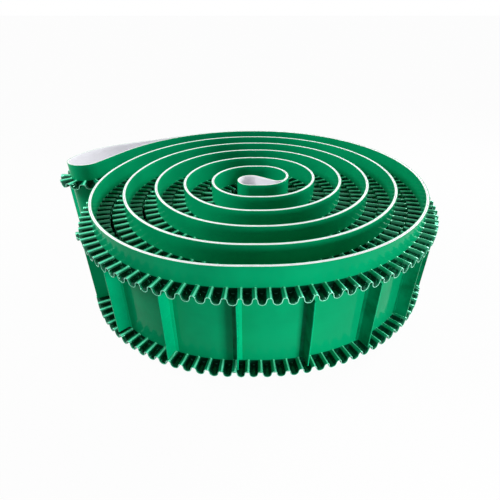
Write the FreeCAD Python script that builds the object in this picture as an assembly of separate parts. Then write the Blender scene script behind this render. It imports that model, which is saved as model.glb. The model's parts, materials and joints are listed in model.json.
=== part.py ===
import FreeCAD, Part
import math
import os

# Endless conveyor belt with corrugated sidewalls and cross cleats, folded flat and rolled up on its edge.
# Millimetres. +Z up, the roll stands on the floor plane, and the origin is the axis of its left half turns.

# Belt layers, from the fabric face out to the green face
BELT_WIDTH = 354.0
BACKING_THICKNESS = 1.2
CARCASS_THICKNESS = 2.1
COVER_THICKNESS = 1.7

# Corrugated sidewalls
SIDEWALL_HEIGHT = 40.0
SIDEWALL_WALL = 2.5
UPPER_EDGE_DISTANCE = 69.0
LOWER_EDGE_DISTANCE = 42.0
WAVE_SWING = 19.5
WAVE_WALL_DEG = 80.0
WAVE_VALLEY_SHARE = 0.62
WAVES_PER_BAY = 5.25
WAVE_SAMPLES = 14

# T-profile cleats
CLEAT_SPACING = 174.0
CLEAT_HEIGHT = 37.0
CLEAT_ROOT = 5.6
CLEAT_TIP = 4.4
CLEAT_FOOT_WIDTH = 24.0
CLEAT_FOOT_THICKNESS = 2.0
CLEAT_END_CLEARANCE = 1.5

# How the belt lies in the roll
FABRIC_GAP = 0.8
TIP_GAP = 1.2
TIP_CLEARANCE = 0.6
WELD_DEPTH = 0.1
EYE_RADIUS = 40.0
EYE_RUN = 19.0
EYE_S_RADIUS = 28.0
EYE_PINCH_DEG = -27.0
EYE_CRUSH = 0.68
EYE_CRUSH_REACH = 150.0
HALF_TURNS = 12
FRONT_CLEAT_SETBACK = 59.0
FRONT_CREST_OFFSET = 9.0

# Stretch of the inner half turns away from each other, which fades outwards on the right
STRETCH_LEFT = 6.0
STRETCH_RIGHT = 15.0
STRETCH_FADE = 8

# Bulge of the outer left half turns, where the roll is loose
LOOSE_RUN = 22.0
LOOSE_FROM_DEG = 160.0
LOOSE_TO_DEG = 202.0

# Tail loop where the folded belt turns back on itself
TAIL_LEAVE_OUTER_DEG = 27.0
TAIL_LEAVE_INNER_DEG = 61.0
TAIL_STRAIGHT = 316.0
TAIL_SHOULDER_RADIUS = 274.0
TAIL_LOOP_RADIUS = 59.0

# Bend lines where the tail unrolls
BEND_COUNT = 3
FIRST_BEND_DEG = 32.0
BEND_RANGE_DEG = 18.0
BEND_CLEARANCE = 0.3

# Longest length of sidewall in one piece, as a turn of the belt
SIDEWALL_TURN_DEG = 50.0

BELT_THICKNESS = BACKING_THICKNESS + CARCASS_THICKNESS + COVER_THICKNESS
COIL_PITCH = 2 * (BELT_THICKNESS + SIDEWALL_HEIGHT) + FABRIC_GAP + TIP_GAP
LEFT_CENTRE = (0.0, 0.0)
RIGHT_CENTRE = (EYE_RUN, COIL_PITCH / 2)
UPPER_SIDEWALL_Z = BELT_WIDTH - UPPER_EDGE_DISTANCE
LOWER_SIDEWALL_Z = LOWER_EDGE_DISTANCE
HALF_BEND = math.radians(BEND_RANGE_DEG / 2)


def polar(centre, radius, degrees):
    """The point at a radius and an angle about a centre."""
    angle = math.radians(degrees)
    return centre[0] + radius * math.cos(angle), centre[1] + radius * math.sin(angle)


def half_turn_radius(number):
    """Radius of the middle of the folded belt on a half turn, counted from the eye."""
    return EYE_RADIUS - FABRIC_GAP / 2 + number * COIL_PITCH / 2


def outer_radius(number):
    """Fabric face of the layer whose green face looks outwards."""
    return half_turn_radius(number) + FABRIC_GAP / 2


def inner_radius(number):
    """Fabric face of the layer whose green face looks inwards."""
    return half_turn_radius(number) - FABRIC_GAP / 2


def stretch(number):
    """How far a half turn lies out to its own side of the roll's two centres."""
    if number == 0:
        return STRETCH_LEFT
    if number % 2:
        return STRETCH_RIGHT * max(0.0, 1 - (number - 1) / STRETCH_FADE)
    return 0.0


def run_after(number):
    """Straight run between a half turn and the next one out."""
    return EYE_RUN + stretch(number) + stretch(number + 1)


def pressed(layer, number):
    """How much a sidewall's tip is pressed in by the next turn that it faces, at the side of a half turn."""
    inside, outside = (number, number + 2) if layer == "outward" else (number - 2, number)
    if inside < 0:
        return 0.0
    closer = stretch(inside) - stretch(outside)
    return max(0.0, (closer - TIP_GAP + TIP_CLEARANCE) / 2) if closer > 0 else 0.0


def loose_run(number):
    """Extra straight run in a half turn: in full on the last left one, and half of it on the one before."""
    if number == HALF_TURNS - 2:
        return LOOSE_RUN
    if number == HALF_TURNS - 4:
        return LOOSE_RUN / 2
    return 0.0


class Run:
    """A straight run or an arc of the belt's fabric face, with the green face on its right."""

    def __init__(self, zone, start, heading, first, length, radius, turn):
        self.zone = zone
        self.start = start
        self.heading = heading
        self.first = first
        self.length = length
        self.radius = radius
        self.turn = turn
        self.last = first + length
        normal = heading + math.pi / 2
        reach = turn * radius
        self.centre = (start[0] + reach * math.cos(normal), start[1] + reach * math.sin(normal))

    def heading_at(self, distance):
        """Direction of travel at a distance along the belt."""
        if self.turn == 0:
            return self.heading
        return self.heading + self.turn * (distance - self.first) / self.radius

    def point(self, distance, depth):
        """A point at a distance along the belt and a depth to the right of its fabric face."""
        heading = self.heading_at(distance)
        if self.turn == 0:
            along = distance - self.first
            x = self.start[0] + along * math.cos(heading) + depth * math.sin(heading)
            y = self.start[1] + along * math.sin(heading) - depth * math.cos(heading)
            return x, y
        reach = self.turn * self.radius + depth
        return self.centre[0] + reach * math.sin(heading), self.centre[1] - reach * math.cos(heading)

    def edge(self, begin, end, depth):
        """The straight or round edge of the belt between two distances, at a depth."""
        p, q = self.point(begin, depth), self.point(end, depth)
        if self.turn == 0:
            return Part.LineSegment(vector(p), vector(q)).toShape()
        middle = self.point((begin + end) / 2, depth)
        return Part.Arc(vector(p), vector(middle), vector(q)).toShape()


def vector(point, z=0.0):
    """A 3-D point over a point of the floor plane."""
    return FreeCAD.Vector(point[0], point[1], z)


class BeltPath:
    """The closed line of the fabric face, from the eye out to the tail loop and back."""

    def __init__(self):
        self.runs = []
        self.length = 0.0
        join_deg, neck = self.eye_joints()
        self.position = polar((-stretch(0), 0.0), outer_radius(0), join_deg)
        self.heading = math.radians(join_deg + 90)
        self.arc("eye", outer_radius(0), 270 - join_deg)
        self.line("eye", run_after(0))
        for number in range(1, HALF_TURNS):
            self.half_turn(("outward", number), outer_radius(number), 1)
            self.line(("outward", number), run_after(number))
        self.tail_loop()
        for number in range(HALF_TURNS - 1, 1, -1):
            self.half_turn(("inward", number), inner_radius(number), -1)
            self.line(("inward", number), run_after(number - 1))
        self.arc(("inward", 1), inner_radius(1), EYE_PINCH_DEG - 90)
        heading_left = math.degrees(self.heading) - (join_deg + 90)
        self.crush_centre = self.length
        self.arc("eye", EYE_S_RADIUS, -(heading_left % 360))
        self.crush_centre = (self.crush_centre + self.length) / 2
        self.line("eye", neck)

    def half_turn(self, zone, radius, turn):
        """Half a turn of the roll. A loose one runs straight a little, then closes in on a smaller arc."""
        run = loose_run(zone[1])
        heading = math.radians(LOOSE_FROM_DEG + 90)
        closing = math.radians(LOOSE_TO_DEG)
        tighter = -run * math.sin(heading) / (1 + math.sin(closing))
        back = -run * math.cos(heading) - tighter * math.cos(closing)
        stretches = [
            (radius, LOOSE_FROM_DEG - 90),
            (0.0, run),
            (radius, LOOSE_TO_DEG - LOOSE_FROM_DEG),
            (radius - tighter, 270 - LOOSE_TO_DEG),
            (0.0, back),
        ]
        if run == 0:
            stretches = [(radius, 180)]
        for arc_radius, amount in stretches[::turn]:
            if arc_radius:
                self.arc(zone, arc_radius, turn * amount)
            else:
                self.line(zone, amount)

    def eye_joints(self):
        """Where the eye's round end starts, and the length of its straight neck up to the S-bend."""
        eye_x = -stretch(0)
        right = (RIGHT_CENTRE[0] + stretch(1), RIGHT_CENTRE[1])
        bend = polar(right, inner_radius(1) - EYE_S_RADIUS, EYE_PINCH_DEG)
        apart = math.hypot(bend[0] - eye_x, bend[1])
        across = outer_radius(0) + EYE_S_RADIUS
        join = math.atan2(bend[1], bend[0] - eye_x) + math.acos(across / apart)
        return math.degrees(join), math.sqrt(apart ** 2 - across ** 2)

    def tail_loop(self):
        """The outer layer leaves the roll, turns round the loop and comes back as the inner layer."""
        shoulder = math.radians(270 + TAIL_LEAVE_OUTER_DEG)
        leave = polar(LEFT_CENTRE, outer_radius(HALF_TURNS), 90 + TAIL_LEAVE_OUTER_DEG)
        ahead = math.radians(180 + TAIL_LEAVE_OUTER_DEG)
        centre_x = leave[0] + TAIL_STRAIGHT * math.cos(ahead) + TAIL_SHOULDER_RADIUS * math.cos(shoulder)
        centre_y = leave[1] + TAIL_STRAIGHT * math.sin(ahead) + TAIL_SHOULDER_RADIUS * math.sin(shoulder)
        back = polar(LEFT_CENTRE, inner_radius(HALF_TURNS), 90 + TAIL_LEAVE_INNER_DEG)
        inside = math.radians(TAIL_LEAVE_INNER_DEG + 90)
        offset = (centre_x - back[0]) * math.cos(inside) + (centre_y - back[1]) * math.sin(inside)
        reach = TAIL_SHOULDER_RADIUS - TAIL_LOOP_RADIUS
        touch = inside + math.acos((TAIL_LOOP_RADIUS - offset) / reach)
        shoulder_turn = math.degrees(touch) - 90 - TAIL_LEAVE_OUTER_DEG
        loop_turn = 180 + TAIL_LEAVE_INNER_DEG - TAIL_LEAVE_OUTER_DEG - shoulder_turn
        self.loop_centre = (centre_x + reach * math.cos(touch), centre_y + reach * math.sin(touch))
        forward = math.radians(TAIL_LEAVE_INNER_DEG)
        home = (back[0] - self.loop_centre[0]) * math.cos(forward)
        home += (back[1] - self.loop_centre[1]) * math.sin(forward)
        self.arc("tail", outer_radius(HALF_TURNS), TAIL_LEAVE_OUTER_DEG)
        self.line("tail", TAIL_STRAIGHT)
        self.arc("tail", TAIL_SHOULDER_RADIUS, shoulder_turn)
        self.arc("tail", TAIL_LOOP_RADIUS, loop_turn)
        self.line("tail", home)
        self.arc("tail", inner_radius(HALF_TURNS), -TAIL_LEAVE_INNER_DEG)
        self.line("tail", EYE_RUN)

    def add(self, zone, length, radius, turn):
        """Add one run and move to its end."""
        run = Run(zone, self.position, self.heading, self.length, length, radius, turn)
        self.runs.append(run)
        self.length = run.last
        self.position = run.point(run.last, 0)
        self.heading = run.heading_at(run.last)

    def line(self, zone, length):
        self.add(zone, length, 0.0, 0)

    def arc(self, zone, radius, degrees):
        self.add(zone, radius * math.radians(abs(degrees)), radius, 1 if degrees > 0 else -1)

    def run_at(self, distance):
        """The run that holds a distance, counted round and round the endless belt."""
        distance %= self.length
        for run in self.runs:
            if distance <= run.last:
                return run, distance
        return self.runs[-1], distance

    def point(self, distance, depth):
        run, distance = self.run_at(distance)
        return run.point(distance, depth)

    def length_of_turn(self, begin, longest, degrees):
        """Length from a distance on, over which the belt turns this way and that by no more than an angle."""
        turn_left = math.radians(degrees)
        length = 0.0
        while length < longest:
            run, distance = self.run_at(begin + length + 1e-6)
            rest = run.last - distance + 1e-6
            if run.turn and rest / run.radius > turn_left:
                return min(longest, length + turn_left * run.radius)
            if run.turn:
                turn_left -= rest / run.radius
            length += rest
        return longest

    def edges(self, begin, end, depth):
        """Edges from one distance to a later one, at a depth."""
        found = []
        lap = math.floor(begin / self.length) * self.length
        while lap < end:
            for run in self.runs:
                first = max(begin, lap + run.first)
                last = min(end, lap + run.last)
                if last - first > 1e-6:
                    found.append(run.edge(first - lap, last - lap, depth))
            lap += self.length
        return found

    def zone_start(self, zone):
        """Distance at which a half turn begins."""
        return next(run.first for run in self.runs if run.zone == zone)

    def crush(self, distance):
        """Share of its height that a sidewall keeps in the eye and where turns are pressed together."""
        away = (distance - self.crush_centre + self.length / 2) % self.length - self.length / 2
        share = 1.0
        if abs(away) < EYE_CRUSH_REACH:
            share -= EYE_CRUSH * math.cos(math.pi / 2 * away / EYE_CRUSH_REACH) ** 2
        run, at = self.run_at(distance)
        if run.zone == "tail":
            return share
        layer, number = ("outward", 0) if run.zone == "eye" else run.zone
        side = 1 if (number % 2 == 1) == (layer == "outward") else -1
        sideways = max(0.0, side * math.sin(run.heading_at(at)))
        return share - sideways * pressed(layer, number) / SIDEWALL_HEIGHT


class Layout:
    """Places of the cleats and of the bend lines along the belt."""

    def __init__(self, path):
        self.path = path
        self.cleats = 2 * round(path.length / CLEAT_SPACING / 2)
        self.spacing = path.length / self.cleats
        self.wave = path.length / round(self.cleats * WAVES_PER_BAY)
        self.front = path.zone_start(("outward", HALF_TURNS - 1)) - FRONT_CLEAT_SETBACK
        self.crest = self.front + FRONT_CREST_OFFSET
        self.first_cleat = self.front % self.spacing
        self.shape_wave()
        self.place_bends()

    def shape_wave(self):
        """Round crests and wider round valleys, joined by straight steep walls."""
        self.slant = math.radians(WAVE_WALL_DEG)
        self.wall_length = WAVE_SWING / math.tan(self.slant / 2) - self.wave / 2
        radii = (self.wave / 2 - self.wall_length * math.cos(self.slant)) / math.sin(self.slant)
        self.valley_radius = WAVE_VALLEY_SHARE * radii
        self.crest_radius = radii - self.valley_radius
        self.half_line = radii * self.slant + self.wall_length

    def wave_share(self, along):
        """How far along the wavy line a distance from a crest is, in waves."""
        waves = math.floor(along / self.wave)
        rest = along - waves * self.wave
        if rest > self.wave / 2:
            return waves + 1 - (self.wave_share(self.wave - rest) if rest < self.wave else 0.0)
        crest_end = self.crest_radius * math.sin(self.slant)
        to_valley = self.wave / 2 - rest
        if rest < crest_end:
            line = self.crest_radius * math.asin(rest / self.crest_radius)
        elif to_valley < self.valley_radius * math.sin(self.slant):
            line = self.half_line - self.valley_radius * math.asin(to_valley / self.valley_radius)
        else:
            line = self.crest_radius * self.slant + (rest - crest_end) / math.cos(self.slant)
        return waves + line / self.half_line / 2

    def wave_place(self, share):
        """Distance from a crest, height and slant of the wavy line, at a share of it in waves."""
        waves = math.floor(share)
        rest = share - waves
        if rest > 0.5:
            along, height, slant = self.wave_place(1 - rest)
            return (waves + 1) * self.wave - along, height, -slant
        line = rest * 2 * self.half_line
        crest_line = self.crest_radius * self.slant
        if line < crest_line:
            slant = line / self.crest_radius
            along = self.crest_radius * math.sin(slant)
            height = WAVE_SWING / 2 - self.crest_radius * (1 - math.cos(slant))
        elif line > crest_line + self.wall_length:
            slant = (self.half_line - line) / self.valley_radius
            along = self.wave / 2 - self.valley_radius * math.sin(slant)
            height = -WAVE_SWING / 2 + self.valley_radius * (1 - math.cos(slant))
        else:
            slant = self.slant
            run = line - crest_line
            along = self.crest_radius * math.sin(slant) + run * math.cos(slant)
            height = WAVE_SWING / 2 - self.crest_radius * (1 - math.cos(slant)) - run * math.sin(slant)
        return waves * self.wave + along, height, -slant

    def place_bends(self):
        """Bend lines about half way between outer cleats, each at a crest or a valley of the sidewalls."""
        last = HALF_TURNS - 1
        outward = self.path.zone_start(("outward", last))
        inward = self.path.zone_start(("inward", last))
        earliest = outward + outer_radius(last) * math.radians(90 + FIRST_BEND_DEG)
        bays = math.ceil((earliest - self.front) / self.spacing - 0.5)
        self.bend_degrees = []
        self.outward_bends = []
        self.inward_bends = []
        for number in range(BEND_COUNT):
            middle = self.front + (bays + number + 0.5) * self.spacing
            distance = self.crest + round(2 * (middle - self.crest) / self.wave) * self.wave / 2
            degrees = math.degrees((distance - outward) / outer_radius(last)) - 90
            self.bend_degrees.append(degrees)
            self.outward_bends.append(distance)
            self.inward_bends.append(inward + inner_radius(last) * math.radians(90 - degrees))

    def bend_axis(self, number):
        """Point of the floor plane that a bend turns about, between the two layers."""
        return polar(RIGHT_CENTRE, half_turn_radius(HALF_TURNS - 1), self.bend_degrees[number])

    def spans(self):
        """Lengths of belt in each moving body, from one bend line to the next."""
        out, back, full = self.outward_bends, self.inward_bends, self.path.length
        found = {"coil": [(back[0] - full, out[0])]}
        for number in range(BEND_COUNT - 1):
            outer_length = (out[number], out[number + 1])
            inner_length = (back[number + 1], back[number])
            found["bay_%d" % (number + 1)] = [outer_length, inner_length]
        found["tail"] = [(out[-1], back[-1])]
        return found

    def bend_at(self, distance):
        """Whether a distance is a bend line, and of which layer."""
        for bend in self.outward_bends:
            if abs(distance - bend) < 1e-6:
                return "outward"
        for bend in self.inward_bends:
            for lap in (0.0, self.path.length):
                if abs(distance + lap - bend) < 1e-6:
                    return "inward"
        return None

    def setback(self, distance, depth, spare=0.0):
        """How far a piece stops short of a bend line, so that the outer layer can close up straight."""
        side = self.bend_at(distance)
        if side is None:
            return 0.0
        if side == "inward":
            return BEND_CLEARANCE + spare
        return BEND_CLEARANCE + spare + (depth + FABRIC_GAP / 2) * math.tan(HALF_BEND)

    def cleat_places(self, span):
        """Distances of the cleats in a length of belt, each kept clear of the bend lines."""
        begin, end = span
        clear = CLEAT_FOOT_WIDTH / 2 + self.setback(end, BELT_THICKNESS) + BEND_CLEARANCE
        number = math.ceil((begin - self.first_cleat) / self.spacing)
        places = []
        while self.first_cleat + number * self.spacing < end:
            place = self.first_cleat + number * self.spacing
            places.append(min(max(place, begin + clear), end - clear))
            number += 1
        return places


def segment(path, first, second):
    """Straight edge between two places, each a distance along the belt and a depth."""
    return Part.LineSegment(vector(path.point(*first)), vector(path.point(*second))).toShape()


def band(layout, span, inner_depth, outer_depth):
    """One layer of the belt over a length, as a solid of the belt's full width."""
    path = layout.path
    begin = span[0] + layout.setback(span[0], BELT_THICKNESS)
    end = span[1] - layout.setback(span[1], BELT_THICKNESS)
    edges = path.edges(begin, end, outer_depth)
    edges.append(segment(path, (end, outer_depth), (end, inner_depth)))
    edges += path.edges(begin, end, inner_depth)
    edges.append(segment(path, (begin, inner_depth), (begin, outer_depth)))
    wire = Part.Wire(Part.__sortEdges__(edges))
    return Part.Face(wire).extrude(FreeCAD.Vector(0, 0, BELT_WIDTH))


def wave_line(layout, begin, end, side, origin):
    """Upper (+1) or lower (-1) face of the wavy wall, as distance and height pairs."""
    first = layout.wave_share(begin - origin)
    last = layout.wave_share(end - origin)
    count = max(6, round((last - first) * WAVE_SAMPLES))
    half = side * SIDEWALL_WALL / 2
    pairs = []
    for i in range(count + 1):
        along, height, slant = layout.wave_place(first + (last - first) * i / count)
        pairs.append((origin + along - half * math.sin(slant), height + half * math.cos(slant)))
    return pairs


def ruled_faces(first_points, second_points):
    """Faces of straight rulings between two smooth lines with these control points, one for each wave."""
    count = len(first_points)
    degree = min(3, count - 1)
    spans = count - degree
    multiplicities = [degree + 1] + [1] * (spans - 1) + [degree + 1]
    surface = Part.BSplineSurface()
    poles = [first_points, second_points]
    knots = list(range(spans + 1))
    surface.buildFromPolesMultsKnots(poles, [2, 2], multiplicities, [0, 1], knots, False, False, 1, degree)
    waves = max(1, round(spans / WAVE_SAMPLES))
    cuts = [round(spans * i / waves) for i in range(waves + 1)]
    faces = []
    for begin, end in zip(cuts, cuts[1:]):
        stretch = surface.copy()
        stretch.segment(0, 1, begin, end)
        faces.append(stretch.toShape())
    return faces


def ruffle(layout, begin, end, z_middle, origin):
    """A length of corrugated sidewall, welded to the green face and standing out from it."""
    path = layout.path
    root_depth = BELT_THICKNESS - WELD_DEPTH
    corners = {}
    for side in (1, -1):
        pairs = wave_line(layout, begin, end, side, origin)
        for level, reach in (("root", 0.0), ("tip", SIDEWALL_HEIGHT)):
            first_trim = layout.setback(begin, BELT_THICKNESS + reach, SIDEWALL_WALL / 2)
            last_trim = layout.setback(end, BELT_THICKNESS + reach, SIDEWALL_WALL / 2)
            share = (end - begin - first_trim - last_trim) / (end - begin)
            points = []
            for distance, height in pairs:
                place = begin + first_trim + (distance - begin) * share
                depth = root_depth if level == "root" else BELT_THICKNESS + reach * path.crush(distance)
                points.append(vector(path.point(place, depth), z_middle + height))
            corners[level, side] = points
    around = [("root", 1), ("tip", 1), ("tip", -1), ("root", -1)]
    faces = []
    for a, b in zip(around, around[1:] + around[:1]):
        faces += ruled_faces(corners[a], corners[b])
    for index in (0, -1):
        root_end = [corners["root", 1][index], corners["root", -1][index]]
        tip_end = [corners["tip", 1][index], corners["tip", -1][index]]
        faces += ruled_faces(root_end, tip_end)
    shell = Part.makeShell(faces)
    shell.sewShape()
    solid = Part.makeSolid(shell)
    if solid.Volume < 0:
        solid.reverse()
    return solid


def ruffle_lengths(layout, span):
    """Cut a length of sidewall into pieces no longer than a bay, and shorter on tight turns."""
    begin, end = span
    marks = [begin]
    while end - marks[-1] > 1e-6:
        longest = layout.path.length_of_turn(marks[-1], layout.spacing, SIDEWALL_TURN_DEG)
        left = end - marks[-1]
        if left < 1.5 * longest:
            longest = left
        marks.append(marks[-1] + longest)
    return list(zip(marks, marks[1:]))


def sidewall(layout, spans, z_middle, origin):
    """All the lengths of one sidewall on a moving body."""
    pieces = []
    for span in spans:
        for begin, end in ruffle_lengths(layout, span):
            pieces.append(ruffle(layout, begin, end, z_middle, origin))
    return Part.makeCompound(pieces)


def cleat(layout, distance):
    """A T-profile cleat: a foot that follows the belt and an upright blade, between the sidewalls."""
    path = layout.path
    crush = path.crush(distance)
    foot_base = BELT_THICKNESS - WELD_DEPTH
    foot_top = BELT_THICKNESS + CLEAT_FOOT_THICKNESS
    tip = BELT_THICKNESS + CLEAT_HEIGHT * crush
    half_foot, half_root, half_tip = CLEAT_FOOT_WIDTH / 2, CLEAT_ROOT / 2, CLEAT_TIP / 2
    run, at = path.run_at(distance)
    heading = run.heading_at(at)
    tangent = FreeCAD.Vector(math.cos(heading), math.sin(heading), 0)
    blade_tip = vector(path.point(distance, tip))
    corners = [
        vector(path.point(distance + half_root, foot_top)),
        blade_tip + tangent * half_tip,
        blade_tip - tangent * half_tip,
        vector(path.point(distance - half_root, foot_top)),
    ]
    edges = path.edges(distance - half_foot, distance + half_foot, foot_base)
    for place in (distance - half_foot, distance + half_foot):
        edges.append(segment(path, (place, foot_base), (place, foot_top)))
    edges += path.edges(distance - half_foot, distance - half_root, foot_top)
    edges += path.edges(distance + half_root, distance + half_foot, foot_top)
    edges += [Part.LineSegment(p, q).toShape() for p, q in zip(corners, corners[1:])]
    sidewall_room = WAVE_SWING / 2 + SIDEWALL_WALL + CLEAT_END_CLEARANCE
    bottom = LOWER_SIDEWALL_Z + sidewall_room
    wire = Part.Wire(Part.__sortEdges__(edges))
    blade = Part.Face(wire).extrude(FreeCAD.Vector(0, 0, UPPER_SIDEWALL_Z - sidewall_room - bottom))
    blade.translate(FreeCAD.Vector(0, 0, bottom))
    return blade


def turn_name(zone):
    """Name of the turn and layer of the roll that a run belongs to."""
    if zone == "eye":
        return "eye"
    layer, number = zone
    return "turn_%d_%s" % ((number + 1) // 2, layer)


def lengths_by_turn(layout, span):
    """The roll's length of belt, cut where one turn ends and the next begins."""
    path = layout.path
    begin, end = span
    found = {}
    lap = math.floor(begin / path.length) * path.length
    while lap < end:
        for run in path.runs:
            first = max(begin, lap + run.first)
            last = min(end, lap + run.last)
            if last - first > 1e-6:
                name = turn_name(run.zone)
                start = found[name][0] if name in found else first
                found[name] = (start, last)
        lap += path.length
    return found


def cleat_group(layout, body, distance):
    """Name of the group that a cleat belongs to: its body, or its turn and layer within the roll."""
    if body != "coil":
        return body + "_cleats"
    return "coil_cleats_" + turn_name(layout.path.run_at(distance)[0].zone)


def build():
    """Every node of the part, by name."""
    layout = Layout(BeltPath())
    carcass_depth = BACKING_THICKNESS + CARCASS_THICKNESS
    valley_first = layout.crest + layout.wave / 2
    nodes = {}
    for body, spans in layout.spans().items():
        carcass = {"": spans}
        if body == "coil":
            carcass = {"_" + name: [length] for name, length in lengths_by_turn(layout, spans[0]).items()}
        nodes[body + "_backing_fabric"] = [band(layout, span, 0.0, BACKING_THICKNESS) for span in spans]
        for name, lengths in carcass.items():
            plies = [band(layout, length, BACKING_THICKNESS, carcass_depth) for length in lengths]
            nodes[body + "_carcass" + name] = plies
        nodes[body + "_cover"] = [band(layout, span, carcass_depth, BELT_THICKNESS) for span in spans]
        nodes[body + "_upper_sidewall"] = [sidewall(layout, spans, UPPER_SIDEWALL_Z, layout.crest)]
        nodes[body + "_lower_sidewall"] = [sidewall(layout, spans, LOWER_SIDEWALL_Z, valley_first)]
        for span in spans:
            for place in layout.cleat_places(span):
                nodes.setdefault(cleat_group(layout, body, place), []).append(cleat(layout, place))
    return layout, nodes


def main():
    os.makedirs("parts", exist_ok=True)
    layout, nodes = build()
    for name, shapes in nodes.items():
        Part.makeCompound(shapes).exportStep("parts/" + name + ".step")
    print("belt %.0f mm, %d cleats at %.1f mm" % (layout.path.length, layout.cleats, layout.spacing))


if __name__ == "__main__":
    main()
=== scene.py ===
"""Finished surfaces of a rolled conveyor belt with sidewalls and cleats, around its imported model."""

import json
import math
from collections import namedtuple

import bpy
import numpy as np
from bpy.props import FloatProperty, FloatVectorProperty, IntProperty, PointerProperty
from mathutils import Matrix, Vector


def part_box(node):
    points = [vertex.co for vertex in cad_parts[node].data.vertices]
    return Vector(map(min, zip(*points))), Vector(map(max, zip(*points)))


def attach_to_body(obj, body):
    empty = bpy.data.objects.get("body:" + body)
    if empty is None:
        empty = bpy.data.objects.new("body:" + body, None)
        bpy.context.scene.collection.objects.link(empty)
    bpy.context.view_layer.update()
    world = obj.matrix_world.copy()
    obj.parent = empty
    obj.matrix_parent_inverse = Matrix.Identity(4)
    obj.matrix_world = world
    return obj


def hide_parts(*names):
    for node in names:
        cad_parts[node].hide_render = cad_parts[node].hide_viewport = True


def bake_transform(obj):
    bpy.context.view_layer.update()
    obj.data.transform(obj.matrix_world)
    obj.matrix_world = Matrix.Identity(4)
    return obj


bl_info = {
    "name": "Rolled Cleated Belt",
    "version": (1, 0, 0),
    "blender": (4, 5, 0),
    "location": "View3D > Sidebar > Belt",
    "description": "Finished surfaces of a rolled conveyor belt around its packed model",
    "category": "Object",
}

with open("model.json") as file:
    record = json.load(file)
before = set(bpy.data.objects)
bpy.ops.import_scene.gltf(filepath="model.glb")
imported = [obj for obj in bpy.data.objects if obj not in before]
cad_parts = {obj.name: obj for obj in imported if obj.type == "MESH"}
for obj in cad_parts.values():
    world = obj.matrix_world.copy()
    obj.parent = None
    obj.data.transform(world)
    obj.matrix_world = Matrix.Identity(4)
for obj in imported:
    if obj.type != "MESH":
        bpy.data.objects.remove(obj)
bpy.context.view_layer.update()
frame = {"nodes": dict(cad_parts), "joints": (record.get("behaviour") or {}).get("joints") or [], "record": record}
MOUNTS = {mount["name"]: mount for mount in frame["record"]["mounts"]}
JOINTS = {joint["name"]: joint for joint in frame["joints"]}
MILLIMETRE = 0.001
FULL_TURN = 2 * math.pi

# Half of the length of belt about a bend line, as a share of a bay
BEND_SHARE = 0.38

# Periods in metres of a slow wander along the belt, each with the factor of the seed that shifts it
WANDER = ((0.233, 1.0), (0.371, 2.1), (0.087, 3.7))

# How far moulded pieces stray: a share of the waves' swing, and lengths in metres
SWING_WANDER = 0.035
TIP_LEAN = 0.0013
TIP_DROOP = 0.0010
BLADE_BOW = 0.0011

# Rounding of a cleat's ends, and distance between threads of the backing, in metres
CLEAT_END_ROUND = 0.0012
THREAD_PITCH = 0.0013


def mount_radius(name):
    """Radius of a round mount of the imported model, in metres."""
    return MOUNTS[name]["dims"]["r_mm"] * MILLIMETRE


def length(name, description, millimetres):
    """A length property with its default given in millimetres."""
    return FloatProperty(
        name=name, description=description, default=millimetres * MILLIMETRE, unit="LENGTH",
        subtype="DISTANCE", precision=4,
    )


def degrees(name, description, value):
    """An angle property with its default given in degrees."""
    return FloatProperty(name=name, description=description, default=math.radians(value), subtype="ANGLE")


def number(name, description, value):
    """A plain number property."""
    return FloatProperty(name=name, description=description, default=value, precision=3)


def count(name, description, value):
    """A whole number property."""
    return IntProperty(name=name, description=description, default=value)


def position(name, description, value):
    """A place in the scene, in metres."""
    return FloatVectorProperty(
        name=name, description=description, default=value, size=3, subtype="TRANSLATION", unit="LENGTH"
    )


def colour(name, description, value):
    """A colour property, in linear light."""
    return FloatVectorProperty(
        name=name, description=description, default=value, size=3, subtype="COLOR", min=0, max=1
    )


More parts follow.
